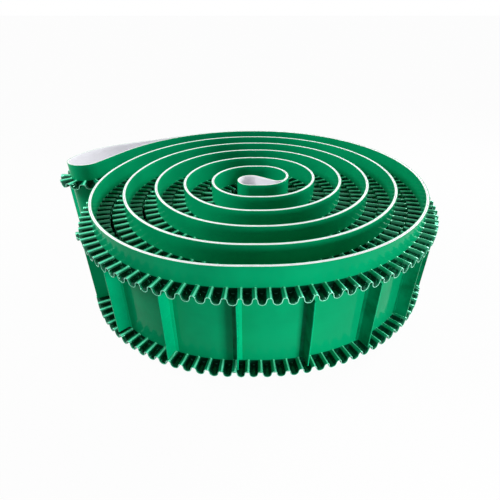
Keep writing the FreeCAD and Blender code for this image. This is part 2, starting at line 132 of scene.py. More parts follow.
class BeltSizes(bpy.types.PropertyGroup):
    """Sizes of the belt and of the way it is rolled."""

    belt_width: length("Belt width", "From edge to edge", 1000 * float(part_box("coil_cover")[1][2]))
    backing: length("Backing", "Thickness of the fabric underside", 1.2)
    carcass: length("Carcass", "Thickness of the tension plies", 2.1)
    cover: length("Cover", "Thickness of the green top sheet", 1.7)
    edge_round: length("Edge rounding", "How far the cut edges are rounded", 0.35)
    fabric_gap: length("Fabric gap", "Between the two fabric faces of the folded belt", 0.8)
    tip_gap: length("Tip gap", "Between sidewalls that meet tip to tip", 1.2)
    sidewall_height: length("Sidewall height", "From the green face to the tip", 40)
    sidewall_wall: length("Sidewall wall", "Thickness of the wavy wall", 2.5)
    upper_edge: length("Upper edge distance", "From the upper edge to the middle of its wave", 69)
    lower_edge: length("Lower edge distance", "From the lower edge to the middle of its wave", 42)
    wave_swing: length("Wave swing", "From crest to valley", 19.5)
    wave_wall: degrees("Wave wall", "Slant of the straight walls between crests and valleys", 80)
    valley_share: number("Valley share", "Share of a valley in the rounding of the wave", 0.62)
    waves_per_bay: number("Waves per bay", "Waves of a sidewall between two cleats", 5.25)
    cleat_spacing: length("Cleat spacing", "Nominal distance between cleats", 174)
    cleat_height: length("Cleat height", "From the green face to the tip", 37)
    cleat_root: length("Cleat root", "Thickness of the blade at its foot", 5.6)
    cleat_tip: length("Cleat tip", "Thickness of the blade at its tip", 4.4)
    cleat_foot: length("Cleat foot", "Width of the welded foot", 24)
    cleat_foot_thickness: length("Foot thickness", "Height of the welded foot", 2)
    cleat_gap: length("Cleat end gap", "Between a cleat's end and the sidewall", 1.5)
    eye_run: length("Eye run", "Straight run between the two centres of the roll", 19)
    eye_bend: length("Eye bend", "Radius of the S-bend beside the eye", 28)
    eye_pinch: degrees("Eye pinch", "Where the S-bend leaves the first half turn", -27)
    stretch_left: length("Left stretch", "How far the eye lies out to the left", 6)
    stretch_right: length("Right stretch", "How far the first half turn lies out to the right", 15)
    stretch_fade: count("Stretch fade", "Half turns over which the right stretch fades", 8)
    tip_clearance: length("Tip clearance", "Between sidewalls that are pressed together", 0.6)
    eye_crush: number("Eye crush", "Share of its height that a sidewall loses in the S-bend", 0.68)
    eye_crush_reach: length("Crush reach", "How far along the belt the sidewall is squeezed", 150)
    half_turns: count("Half turns", "Half turns of the folded belt, counted from the eye", 12)
    front_cleat: length("Front cleat", "How far before the last half turn a cleat stands", 59)
    front_crest: length("Front crest", "From the front cleat on to a crest of the upper sidewall", 9)
    loose_run: length("Loose run", "Extra straight run in the last left half turn", 22)
    loose_from: degrees("Loose from", "Where that half turn comes loose", 160)
    loose_to: degrees("Loose to", "Where it closes in again", 202)
    tail_leave_outer: degrees("Outer leave", "Where the outer layer leaves the roll, past its back", 27)
    tail_leave_inner: degrees("Inner leave", "Where the inner layer leaves the roll, past its back", 61)
    tail_straight: length("Tail straight", "Straight run of the tail's outer layer", 316)
    tail_shoulder: length("Tail shoulder", "Radius of the tail's shoulder", 274)


class BeltColours(bpy.types.PropertyGroup):
    """Colours of the belt's finishes."""

    cover: colour("Cover", "Green top sheet", (0.001, 0.33, 0.135))
    sidewall: colour("Sidewall", "Corrugated sidewalls", (0.001, 0.20, 0.084))
    # Painted shade: near black, for the shade deep in the sidewalls' channels and on the cover behind them
    sidewall_channel_shade: colour("Sidewall channel", "Grime in their channels", (0.0005, 0.014, 0.007))
    # Painted highlight: a pale line along each crest of the sidewalls, a little to one side of its top
    sidewall_ridge_highlight: colour("Sidewall ridge", "Rubbed ridges of the sidewalls", (0.13, 0.88, 0.54))
    # Painted highlight: a thin pale line along the tip edge of the sidewalls
    sidewall_tip_highlight: colour("Sidewall tip", "Pale rubbed edge of the sidewalls", (0.40, 0.95, 0.75))
    cleat: colour("Cleat", "Cross cleats", (0.0, 0.50, 0.22))
    # Painted shade: the trailing side of each cleat made dark, as the side that faces away from the light
    cleat_trailing_shade: colour("Cleat grime", "Film of grime on the trailing side of the cleats", (0.0, 0.09, 0.03))
    highlight: colour("Highlight", "Tint of the gloss on the green PVC", (0.25, 1.0, 0.65))
    fabric: colour("Fabric", "Woven underside", (0.95, 0.95, 0.98))
    fabric_shade: colour("Fabric shade", "Hollows of the weave", (0.84, 0.84, 0.89))
    ply: colour("Ply", "Cut edge of the tension plies", (0.96, 0.96, 0.96))


class StageSettings(bpy.types.PropertyGroup):
    """Camera, lamps and floor."""

    camera: position("Camera", "Place of the camera", (-0.0082, -1.2081, 0.8481))
    camera_tilt: degrees("Camera tilt", "Down from the horizon", 32.57)
    lens: number("Lens", "Focal length in millimetres on a 36 mm sensor", 27.66)
    key_power: number("Key lamp", "Watts of the low lamp at the front right", 10.0)
    key_place: position("Key place", "Place of the key lamp", (0.70, -1.35, 0.40))
    key_width: length("Key width", "Side of the square key lamp", 350)
    left_power: number("Left lamp", "Watts of the high lamp on the left", 42.0)
    left_place: position("Left place", "Place of the left lamp", (-1.9, -0.2, 1.75))
    right_power: number("Right lamp", "Watts of the high lamp behind on the right", 66.0)
    right_place: position("Right place", "Place of the right lamp", (2.0, 0.9, 1.7))
    side_width: length("Side width", "Side of the square left and right lamps", 800)
    sky: number("Sky", "Strength of the world's light", 0.29)
    floor_tone: colour("Floor tone", "The floor as it takes and throws back light", (0.4, 0.4, 0.4))
    floor_glow: number("Floor glow", "Share of plain white in the floor as the camera sees it", 0.97)


def sizes():
    """The belt's sizes, as the scene holds them."""
    return bpy.context.scene.belt_sizes


def colours():
    """The belt's colours, as the scene holds them."""
    return bpy.context.scene.belt_colours


class BeltLine:
    """The closed line of the belt's fabric face, as runs of a length and a signed curvature.

    Along a run the heading grows by the curvature times the distance, so a point of it is the start plus the
    chord of that arc. The green face lies on the right of travel, at a depth from the fabric face.
    """

    def __init__(self):
        size = sizes()
        self.thickness = size.backing + size.carcass + size.cover
        self.pitch = 2 * (self.thickness + size.sidewall_height) + size.fabric_gap + size.tip_gap
        self.right_centre = np.array([size.eye_run, self.pitch / 2])
        self.last_half_turn = size.half_turns - 1
        self.runs = []
        self.marks = {}
        self.pressed_now = 0.0
        self.trace()
        lengths = np.array([run[0] for run in self.runs])
        self.curvature = np.array([run[1] for run in self.runs])
        self.pressing = np.array([run[2] for run in self.runs])
        self.first = np.concatenate([[0], np.cumsum(lengths)[:-1]])
        self.length = float(lengths.sum())
        turns = np.concatenate([[0], np.cumsum(lengths * self.curvature)[:-1]])
        self.heading = self.start_heading + turns
        steps = np.stack(self.chord(self.heading, self.curvature, lengths), axis=1)
        self.start = self.start_point + np.concatenate([[[0, 0]], np.cumsum(steps, axis=0)[:-1]])
        self.place_cleats()
        self.place_bends()

    def outer(self, half_turn):
        """Fabric face of the layer that looks outwards on a half turn."""
        return mount_radius("core_eye") + half_turn * self.pitch / 2

    def inner(self, half_turn):
        """Fabric face of the layer that looks inwards on a half turn."""
        return self.outer(half_turn) - sizes().fabric_gap

    def arc(self, radius, turn):
        """Add an arc that turns left by a positive angle and right by a negative one."""
        self.runs.append((radius * abs(turn), math.copysign(1 / radius, turn), self.pressed_now))

    def run(self, distance):
        """Add a straight run."""
        self.runs.append((distance, 0.0, self.pressed_now))

    @staticmethod
    def stretch(half_turn):
        """How far a half turn lies out to its own side of the roll's two centres."""
        size = sizes()
        if half_turn % 2:
            return size.stretch_right * max(0.0, 1 - (half_turn - 1) / size.stretch_fade)
        return size.stretch_left if half_turn == 0 else 0.0

    def run_after(self, half_turn):
        """Straight run between a half turn and the next one out."""
        return sizes().eye_run + self.stretch(half_turn) + self.stretch(half_turn + 1)

    def press(self, layer, half_turn):
        """From here on, how far the turn that they face presses the tips in, signed for their side."""
        size = sizes()
        inside = half_turn if layer == "outward" else half_turn - 2
        closer = self.stretch(inside) - self.stretch(inside + 2) if inside >= 0 else 0.0
        amount = max(0.0, (closer - size.tip_gap + size.tip_clearance) / 2) if closer > 0 else 0.0
        self.pressed_now = amount if (half_turn % 2 == 1) == (layer == "outward") else -amount

    def mark(self, name):
        """Remember the distance from the start to this place."""
        self.marks[name] = sum(run[0] for run in self.runs)

    def trace(self):
        """From the eye out along the outward layer, round the tail loop and back along the inward layer."""
        size = sizes()
        join, neck = self.eye_bend()
        eye = np.array([-self.stretch(0), 0.0])
        self.start_point = eye + mount_radius("core_eye") * np.array([math.cos(join), math.sin(join)])
        self.start_heading = join + math.pi / 2
        self.press("outward", 0)
        self.arc(mount_radius("core_eye"), 1.5 * math.pi - join)
        self.run(self.run_after(0))
        for half_turn in range(1, size.half_turns):
            self.mark(("outward", half_turn))
            self.press("outward", half_turn)
            self.half_turn(half_turn, self.outer(half_turn), 1)
            self.run(self.run_after(half_turn))
        self.pressed_now = 0.0
        self.trace_tail()
        for half_turn in range(self.last_half_turn, 1, -1):
            self.mark(("inward", half_turn))
            self.press("inward", half_turn)
            self.half_turn(half_turn, self.inner(half_turn), -1)
            self.run(self.run_after(half_turn - 1))
        self.mark(("inward", 1))
        self.press("inward", 1)
        self.arc(self.inner(1), size.eye_pinch - math.pi / 2)
        self.mark("crush start")
        self.press("outward", 0)
        turned = sum(run[0] * run[1] for run in self.runs)
        self.arc(size.eye_bend, -(turned - FULL_TURN))
        self.mark("crush end")
        self.run(neck)

    def half_turn(self, number, radius, turn):
        """Half a turn of the roll. The last two left ones are loose: a straight run, then a tighter arc."""
        size = sizes()
        loose = {size.half_turns - 2: 1.0, size.half_turns - 4: 0.5}.get(number, 0.0) * size.loose_run
        if not loose:
            self.arc(radius, turn * math.pi)
            return
        heading = size.loose_from + math.pi / 2
        tighter = -loose * math.sin(heading) / (1 + math.sin(size.loose_to))
        back = -loose * math.cos(heading) - tighter * math.cos(size.loose_to)
        stretches = [
            (radius, size.loose_from - math.pi / 2),
            (0.0, loose),
            (radius, size.loose_to - size.loose_from),
            (radius - tighter, 1.5 * math.pi - size.loose_to),
            (0.0, back),
        ]
        for arc_radius, amount in stretches[::turn]:
            if arc_radius:
                self.arc(arc_radius, turn * amount)
            else:
                self.run(amount)

    def eye_bend(self):
        """Angle where the eye's round end starts, and the straight neck from there to the S-bend.

        The S-bend's circle touches the first inward half turn from inside, at the pinch. The neck is the
        line that crosses between that circle and the round end, so both radii together are its offset from
        their centres.
        """
        size = sizes()
        inside = self.inner(1) - size.eye_bend
        bend = self.right_centre + np.array([self.stretch(1) + self.stretch(0), 0.0])
        bend = bend + inside * np.array([math.cos(size.eye_pinch), math.sin(size.eye_pinch)])
        apart = float(np.hypot(*bend))
        across = mount_radius("core_eye") + size.eye_bend
        return math.atan2(bend[1], bend[0]) + math.acos(across / apart), math.sqrt(apart ** 2 - across ** 2)

    def trace_tail(self):
        """Straight run, shoulder and loop of the tail, which ends where the inner layer leaves the roll."""
        size = sizes()
        loop = mount_radius("tail_loop")
        centre = np.array(MOUNTS["tail_loop"]["pos_m"][:2])
        outer, inner = self.outer(size.half_turns), self.inner(size.half_turns)
        leave, back = size.tail_leave_outer, size.tail_leave_inner
        shoulder_centre = outer * np.array([-math.sin(leave), math.cos(leave)])
        shoulder_centre += size.tail_straight * np.array([-math.cos(leave), -math.sin(leave)])
        shoulder_centre += size.tail_shoulder * np.array([math.sin(leave), -math.cos(leave)])
        touch = math.atan2(*(centre - shoulder_centre)[::-1]) % FULL_TURN
        shoulder_turn = touch - math.pi / 2 - leave
        home = inner * np.array([-math.sin(back), math.cos(back)])
        straight = float((home - centre) @ np.array([math.cos(back), math.sin(back)]))
        self.arc(outer, leave)
        self.run(size.tail_straight)
        self.arc(size.tail_shoulder, shoulder_turn)
        self.arc(loop, math.pi + back - leave - shoulder_turn)
        self.run(straight)
        self.arc(inner, -back)
        self.run(size.eye_run)

    def place_cleats(self):
        """A whole, even number of cleats, one of them at the front of the roll."""
        size = sizes()
        self.cleats = 2 * round(self.length / size.cleat_spacing / 2)
        self.spacing = self.length / self.cleats
        self.wave = self.length / round(self.cleats * size.waves_per_bay)
        self.front = self.marks["outward", self.last_half_turn] - size.front_cleat
        self.crest = self.front + size.front_crest
        self.first_cleat = self.front % self.spacing

    def place_bends(self):
        """Distances of the bend lines on both layers, and of the seams half way between them."""
        joints = [JOINTS["unroll_%d" % (i + 1)] for i in range(len(JOINTS))]
        axes = np.array([joint["pos_m"] for joint in joints])
        angles = np.arctan2(axes[:, 1] - self.right_centre[1], axes[:, 0] - self.right_centre[0])
        step = self.spacing / self.outer(self.last_half_turn)
        seams = np.append(angles - step / 2, angles[-1] + step / 2)
        self.bend_axes, self.bend_angles = axes, angles
        self.outward_seams = self.on_outward(seams)
        self.inward_seams = self.on_inward(seams)

    def on_outward(self, angle):
        """Distance of an angle on the last half turn of the outward layer."""
        half_turn = self.last_half_turn
        return self.marks["outward", half_turn] + self.outer(half_turn) * (angle + math.pi / 2)

    def on_inward(self, angle):
        """Distance of an angle on the last half turn of the inward layer."""
        half_turn = self.last_half_turn
        return self.marks["inward", half_turn] + self.inner(half_turn) * (math.pi / 2 - angle)

    @staticmethod
    def chord(heading, curvature, distance):
        """Step made along an arc: the length-weighted mean direction, which a straight run shares."""
        half = curvature * distance / 2
        reach = distance * np.sinc(half / math.pi)
        return reach * np.cos(heading + half), reach * np.sin(heading + half)

    def at(self, distance):
        """Points of the fabric face and the headings there."""
        distance = np.mod(distance, self.length)
        index = np.searchsorted(self.first, distance, side="right") - 1
        along = distance - self.first[index]
        heading, curvature = self.heading[index], self.curvature[index]
        dx, dy = self.chord(heading, curvature, along)
        return self.start[index, 0] + dx, self.start[index, 1] + dy, heading + curvature * along

    def point(self, distance, depth):
        """Points at a depth to the right of the fabric face."""
        x, y, heading = self.at(distance)
        return x + depth * np.sin(heading), y - depth * np.cos(heading)

    def stations(self, begin, end, step=0.03, turn=0.035):
        """Distances along a length of belt, closer together where it turns more tightly."""
        marks = [begin]
        lap = math.floor(begin / self.length) * self.length
        ends = np.append(self.first[1:], self.length)
        for offset in (lap, lap + self.length):
            for first, last, curvature in zip(self.first + offset, ends + offset, self.curvature):
                low, high = max(first, begin), min(last, end)
                if high - low < 1e-6:
                    continue
                steps = max(1, math.ceil((high - low) * max(1 / step, abs(curvature) / turn)))
                marks.extend(np.linspace(low, high, steps + 1)[1:])
        return np.array(marks)

    def crush(self, distance):
        """Share of its height that a sidewall keeps: one, less a squared cosine around the eye's S-bend.

        Where turns are pressed together, their tips give way by the sine of the heading, most at the sides.
        """
        size = sizes()
        middle = (self.marks["crush start"] + self.marks["crush end"]) / 2
        away = np.mod(distance - middle + self.length / 2, self.length) - self.length / 2
        reach = np.clip(np.abs(away) / size.eye_crush_reach, 0, 1)
        index = np.searchsorted(self.first, np.mod(distance, self.length), side="right") - 1
        sideways = np.maximum(0, self.pressing[index] * np.sin(self.at(distance)[2]))
        return 1 - size.eye_crush * np.cos(math.pi / 2 * reach) ** 2 - sideways / size.sidewall_height


# Lengths of belt that one piece covers, with the body that it follows or the bend line that it crosses
Span = namedtuple("Span", "name lengths nodes body bend", defaults=(None, None))


def body_chain():
    """The bodies from the roll out to the tail."""
    return ["coil"] + [JOINTS["unroll_%d" % (i + 1)]["child"] for i in range(len(JOINTS))]


def belt_spans(line):
    """The roll, one length over each bend line and the tail, in order outwards."""
    out, back = line.outward_seams, line.inward_seams
    bodies = body_chain()
    spans = [
        Span("coil_inward", [(back[0] - line.length, 0.0)], "coil", body="coil"),
        Span("coil_outward", [(0.0, out[0])], "coil", body="coil"),
    ]
    for i in range(len(JOINTS)):
        lengths = [(out[i], out[i + 1]), (back[i + 1], back[i])]
        nodes = bodies[i + 1] if i + 1 < len(JOINTS) else None
        spans.append(Span("bend_%d" % (i + 1), lengths, nodes, bend=(bodies[i], bodies[i + 1], i)))
    spans.append(Span("tail", [(out[-1], back[-1])], "tail", body="tail"))
    return spans


def grid_faces(rows, columns):
    """Quads of a tube of closed rings, wound so that they face outwards, and the two rings that end it."""
    row = np.arange(rows - 1)[:, None]
    column = np.arange(columns)[None, :]
    following = (column + 1) % columns
    a, b = row * columns + column, row * columns + following
    quads = np.stack([a, a + columns, b + columns, b], axis=-1).reshape(-1, 4)
    return quads, np.arange(columns), (rows - 1) * columns + np.arange(columns)[::-1]


class Shell:
    """Closed tubes gathered into one mesh, each with its own pair of surface coordinates."""

    def __init__(self):
        self.points, self.faces, self.coordinates, self.count = [], [], [], 0

    def add(self, points, coordinates):
        """Points and surface coordinates of a tube, as arrays of rings by points of a ring."""
        rows, columns = points.shape[:2]
        quads, first, last = grid_faces(rows, columns)
        self.points.append(points.reshape(-1, 3))
        self.coordinates.append(coordinates.reshape(-1, 2))
        self.faces.extend((quads + self.count).tolist())
        self.faces.append((first + self.count).tolist())
        self.faces.append((last + self.count).tolist())
        self.count += rows * columns

    def build(self, name, material, sharp=math.radians(35)):
        """The mesh object, smooth but for its sharp edges, with its coordinates as a UV map."""
        points = np.concatenate(self.points)
        coordinates = np.concatenate(self.coordinates)
        mesh = bpy.data.meshes.new(name)
        mesh.from_pydata(points, [], self.faces)
        corners = np.empty(len(mesh.loops), dtype=np.int32)
        mesh.loops.foreach_get("vertex_index", corners)
        layer = mesh.uv_layers.new(name="belt")
        layer.data.foreach_set("uv", coordinates[corners].astype(np.float32).ravel())
        mesh.shade_smooth()
        mesh.set_sharp_from_angle(angle=sharp)
        mesh.materials.append(material)
        piece = bpy.data.objects.new(name, mesh)
        bpy.context.scene.collection.objects.link(piece)
        return piece


def nodes_of(span, part_name):
    """CAD nodes that a piece stands for: one, or the turns and the eye of a layer that is divided."""
    name = span.nodes + "_" + part_name
    if name in frame["nodes"]:
        return [name]
    layer = span.name.split("_")[-1]
    return [node for node in frame["nodes"] if node.startswith(name) and node.endswith((layer, "_eye"))]


def attach(piece, span, line, part_name):
    """Make a piece follow its body, or, over a bend line, bake its placement into its mesh, and hide the CAD nodes
    that it stands for.
    """
    if span.bend:
        body_a, body_b, index = span.bend
        angle = line.bend_angles[index]
        along = np.array([-math.sin(angle), math.cos(angle), 0]) * line.spacing * BEND_SHARE
        middle = line.bend_axes[index]
        tuple(middle - along)
        tuple(middle + along)
        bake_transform(piece)
    else:
        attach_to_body(piece, span.body)
    if span.nodes:
        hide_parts(*nodes_of(span, part_name))


def drift(distance, seed):
    """Slow irregular wander between about -1 and 1: the mean of sines whose periods share no factor."""
    phase = np.asarray(distance) * FULL_TURN
    return sum(np.sin(phase / period + factor * seed) for period, factor in WANDER) / len(WANDER)


def layer_profile(low, high):
    """Ring of a belt layer's section as depth and height pairs: a rectangle with its corners cut."""
    size = sizes()
    cut = min(size.edge_round, (high - low) / 3)
    width = size.belt_width
    ring = [
        (low + cut, 0), (high - cut, 0), (high, cut), (high, width - cut),
        (high - cut, width), (low + cut, width), (low, width - cut), (low, cut),
    ]
    return np.array(ring)


def layer_tube(line, begin, end, low, high):
    """A belt layer: its section carried along the belt line, with distance and height as coordinates."""
    ring = layer_profile(low, high)
    distance = line.stations(begin, end)[:, None]
    x, y = line.point(distance, ring[:, 0])
    z = np.broadcast_to(ring[:, 1], x.shape)
    along = np.broadcast_to(distance, x.shape)
    return np.stack([x, y, z], axis=-1), np.stack([along, z], axis=-1)


def ruffle_profile():
    """Ring of the wavy wall's section as height and half thickness: flared at its weld, round on top."""
    size = sizes()
    half, top = size.sidewall_wall / 2, size.sidewall_height
    flank = [
        (-0.0003, half + 0.0012), (0.0010, half + 0.0005), (0.004, half),
        (0.55 * top, half * 0.96), (top - 0.0011, half * 0.9), (top - 0.0003, half * 0.55),
    ]
    ring = flank + [(height, -across) for height, across in reversed(flank)]
    return np.array(ring)


class Wave:
    """Middle line of a sidewall: round crests and wider round valleys, joined by straight steep walls.

    For the wall's slant a and the swing, half a wave is an arc of the crest's radius through a, a straight
    wall, and an arc of the valley's radius back through a. Its width and its height fix the wall's length
    and the radii.
    """

    # Steps in half a wave up to the end of the crest's arc, of the wall and of the valley's arc
    STEPS = (3, 5, 9)

    def __init__(self, wave):
        size = sizes()
        self.wave, self.swing, self.slant = wave, size.wave_swing, size.wave_wall
        self.wall = self.swing / math.tan(self.slant / 2) - wave / 2
        radii = (wave / 2 - self.wall * math.cos(self.slant)) / math.sin(self.slant)
        self.valley = size.valley_share * radii
        self.crest = radii - self.valley

    def at(self, step):
        """Distance from the first crest, height and slant at a count of steps, half waves being mirrored."""
        whole = 2 * self.STEPS[-1]
        turn = np.floor(step / whole)
        rest = step - turn * whole
        falling = rest <= whole / 2
        half = np.where(falling, rest, whole - rest)
        on_crest, on_wall = half < self.STEPS[0], half < self.STEPS[1]
        from_crest = np.clip(half / self.STEPS[0], 0, 1) * self.slant
        from_valley = np.clip((whole / 2 - half) / (self.STEPS[2] - self.STEPS[1]), 0, 1) * self.slant
        along_wall = np.clip((half - self.STEPS[0]) / (self.STEPS[1] - self.STEPS[0]), 0, 1) * self.wall
        slant = np.where(on_crest, from_crest, np.where(on_wall, self.slant, from_valley))
        over = self.crest * np.sin(from_crest) + along_wall * math.cos(self.slant)
        fall = self.crest * (1 - np.cos(from_crest)) + along_wall * math.sin(self.slant)
        along = np.where(on_wall, over, self.wave / 2 - self.valley * np.sin(from_valley))
        in_valley = self.valley * (1 - np.cos(from_valley)) - self.swing / 2
        height = np.where(on_wall, self.swing / 2 - fall, in_valley)
        along = turn * self.wave + np.where(falling, along, self.wave - along)
        return along, height, np.where(falling, -slant, slant)

    def steps(self, begin, end):
        """Counts of steps that cover a length from the first crest, with both of its ends."""
        whole = 2 * self.STEPS[-1]
        counts = np.arange(math.floor(begin / self.wave) * whole, math.ceil(end / self.wave) * whole + 1)
        along = self.at(counts.astype(float))[0]
        inside = counts[(along > begin + 0.0004) & (along < end - 0.0004)]
        ends = np.interp([begin, end], along, counts)
        return np.concatenate([ends[:1], inside, ends[1:]])


def ruffle_tube(line, begin, end, middle, origin, seed):
    """A sidewall: the wave along the belt, made thick square to itself and drawn out from the green face.

    Its swing and the lean of its tips wander slightly, as moulded PVC does, and its height shrinks in the
    eye. Its coordinates are the count of waves, half a wave on for the under side, and the height over the
    green face.
    """
    size = sizes()
    ring = ruffle_profile()
    wave = Wave(line.wave)
    step = wave.steps(begin - origin, end - origin)[:, None]
    distance, height, slant = wave.at(step)
    distance = distance + origin
    height = height * (1 + SWING_WANDER * drift(distance, seed))
    rise, across = ring[:, 0], ring[:, 1]
    share = rise / size.sidewall_height
    lean = TIP_LEAN * drift(distance * 1.7, seed + 1) * share ** 2
    droop = TIP_DROOP * drift(distance * 1.3, seed + 2) * share ** 2
    along = distance - np.sin(slant) * across + lean
    depth = line.thickness + rise * line.crush(distance)
    x, y = line.point(along, depth)
    z = middle + height + np.cos(slant) * across + droop
    waves = step / (2 * wave.STEPS[-1]) + np.where(across > 0, 0.0, 0.5)
    tall = np.broadcast_to(rise, x.shape)
    return np.stack([x, y, z], axis=-1), np.stack([waves, tall], axis=-1)


def cleat_profile():
    """Ring of the T-section as across and depth pairs from the green face: foot, fillets and blade."""
    size = sizes()
    foot, thick = size.cleat_foot / 2, size.cleat_foot_thickness
    root, tip, top = size.cleat_root / 2, size.cleat_tip / 2, size.cleat_height
    half = [
        (foot, -0.0002), (foot, 0.4 * thick), (foot - 0.0012, 0.75 * thick), (root + 0.0042, thick),
        (root + 0.0014, thick + 0.0008), (root, thick + 0.003), (tip, top - 0.0008), (tip - 0.0007, top),
    ]
    ring = half + [(-across, depth) for across, depth in reversed(half)]
    return np.array(ring)


def cleat_tube(line, distance, seed):
    """A cleat: its section drawn along the belt's width, with its ends drawn in and its blade bowed.

    Its coordinates are the height over the green face, negative on the trailing side, and the place across
    the belt's width.
    """
    size = sizes()
    ring = cleat_profile()
    room = size.wave_swing / 2 + size.sidewall_wall + size.cleat_gap
    bottom, top = size.lower_edge + room, size.belt_width - size.upper_edge - room
    ends = np.array([0, CLEAT_END_ROUND])
    middle = np.linspace(bottom, top, 5)[1:-1]
    z = np.concatenate([bottom + ends, middle, (top - ends)[::-1]])[:, None]
    inset = np.interp(np.minimum(z - bottom, top - z), ends, ends[::-1])
    across, depth = ring[:, 0], ring[:, 1]
    share = np.clip(depth / size.cleat_height, 0, 1)
    crush = line.crush(distance)
    arch = np.sin(math.pi * (z - bottom) / (top - bottom))
    bow = BLADE_BOW * arch * math.sin(seed * 5.3) * share ** 2
    on_blade = depth > size.cleat_foot_thickness
    reach = depth * np.where(on_blade, crush, 1.0) - inset * (share > 0.9)
    sideways = across - np.sign(across) * inset * 0.5 + bow
    x0, y0, heading = line.at(np.array(distance))
    blade_depth = line.thickness + reach
    blade_x = x0 + sideways * np.cos(heading) + blade_depth * np.sin(heading)
    blade_y = y0 + sideways * np.sin(heading) - blade_depth * np.cos(heading)
    foot_x, foot_y = line.point(distance + sideways, blade_depth)
    x = np.where(on_blade, blade_x, foot_x)
    y = np.where(on_blade, blade_y, foot_y)
    z = np.broadcast_to(z, x.shape)
    rise = np.broadcast_to(np.sign(across) * depth, x.shape)
    return np.stack([x, y, z], axis=-1), np.stack([rise, z], axis=-1)


def cleat_nodes(line):
    """Distances of the cleats for each CAD node that holds them, by turn of the roll or by moving body."""
    distances = line.first_cleat + line.spacing * np.arange(line.cleats)
    bend_out = line.on_outward(line.bend_angles)
    bend_in = line.on_inward(line.bend_angles)
    bodies = body_chain()
    starts = sorted((line.marks[key], key) for key in line.marks if isinstance(key, tuple))
    groups = {}
    for distance in distances:
        if distance < line.length / 2:
            body = bodies[int(np.sum(distance > bend_out))]
        else:
            body = bodies[int(np.sum(distance < bend_in))]
        name = body + "_cleats"
        if body == "coil":
            zone = [key for start, key in starts if start <= distance]
            in_eye = not zone or distance > line.marks["crush start"]
            name += "_eye" if in_eye else "_turn_%d_%s" % ((zone[-1][1] + 1) // 2, zone[-1][0])
        groups.setdefault((name, body), []).append(distance)
    return groups


class Value:
    """A number socket, so that shader maths can be written as Python expressions."""

    def __init__(self, finish, socket):
        self.finish = finish
        self.socket = socket

    def maths(self, operation, *values):
        return self.finish.node("ShaderNodeMath", {"operation": operation}, dict(enumerate(values)))

    def __add__(self, other):
        return self.maths("ADD", self, other)

    def __sub__(self, other):
        return self.maths("SUBTRACT", self, other)

    def __mul__(self, other):
        return self.maths("MULTIPLY", self, other)

    def __rsub__(self, other):
        return self.maths("SUBTRACT", other, self)

    __radd__ = __add__
    __rmul__ = __mul__

    def sine(self):
        return self.maths("SINE", self)

    def magnitude(self):
        return self.maths("ABSOLUTE", self)

    def ramp(self, low, high):
        """From 0 at one value to 1 at another, smoothly."""
        settings = {"interpolation_type": "SMOOTHSTEP"}
        inputs = {"Value": self, "From Min": low, "From Max": high}
        return self.finish.node("ShaderNodeMapRange", settings, inputs)


class Finish:
    """A procedural material, built from named nodes and shader expressions."""

    def __init__(self, name):
        self.material = bpy.data.materials.new(name)
        self.material.use_nodes = True
        self.work_on(self.material.node_tree, "Principled BSDF")

    @classmethod
    def around(cls, tree, shader):
        """A maker for a node tree that exists already, such as the world's."""
        maker = cls.__new__(cls)
        maker.work_on(tree, shader)
        return maker

    def work_on(self, tree, shader):
        self.tree = tree
        self.shader = tree.nodes[shader]

    def node(self, kind, settings=None, inputs=None, output=0):
        """Add a node, set its settings first and then its sockets, and give back one of its outputs."""
        node = self.tree.nodes.new(kind)
        for key, value in (settings or {}).items():
            setattr(node, key, value)
        for key, value in (inputs or {}).items():
            self.feed(node.inputs[key], value)
        return Value(self, node.outputs[output])

    def feed(self, socket, value):
        """Link a socket to a value, or set it."""
        if isinstance(value, Value):
            self.tree.links.new(value.socket, socket)
        elif socket.type == "RGBA":
            socket.default_value = (*value, 1.0)
        else:
            socket.default_value = value

    def set(self, **inputs):
        """Set or link the shader's own sockets, with underscores for spaces."""
        for key, value in inputs.items():
            self.feed(self.shader.inputs[key.replace("_", " ")], value)

    def place(self):
        """Object coordinates, in metres."""
        return self.node("ShaderNodeTexCoord", output="Object")

    def surface(self):
        """The piece's own surface coordinates: distance along the belt, and height."""
        split = self.node("ShaderNodeUVMap", {"uv_map": "belt"})
        parts = self.node("ShaderNodeSeparateXYZ", None, {0: split})
        return parts, Value(self, parts.socket.node.outputs[1])

    def noise(self, place, scale, detail=3.0, roughness=0.55):
        inputs = {"Vector": place, "Scale": scale, "Detail": detail, "Roughness": roughness}
        return self.node("ShaderNodeTexNoise", None, inputs)

    def stretched(self, along, across, along_scale, across_scale):
        """Coordinates along and across the belt, scaled apart."""
        return self.node("ShaderNodeCombineXYZ", None, {0: along * along_scale, 1: across * across_scale})

    def mix(self, share, first, second):
        """Mix of two colours."""
        return self.node("ShaderNodeMix", {"data_type": "RGBA"}, {0: share, 6: first, 7: second}, output=2)

    def bump(self, height, distance, strength=1.0):
        inputs = {"Height": height, "Distance": distance, "Strength": strength}
        self.set(Normal=self.node("ShaderNodeBump", None, inputs))


def shaded(tone, factor):
    """A colour made darker or paler by a factor."""
    return tuple(min(1.0, part * factor) for part in tone)


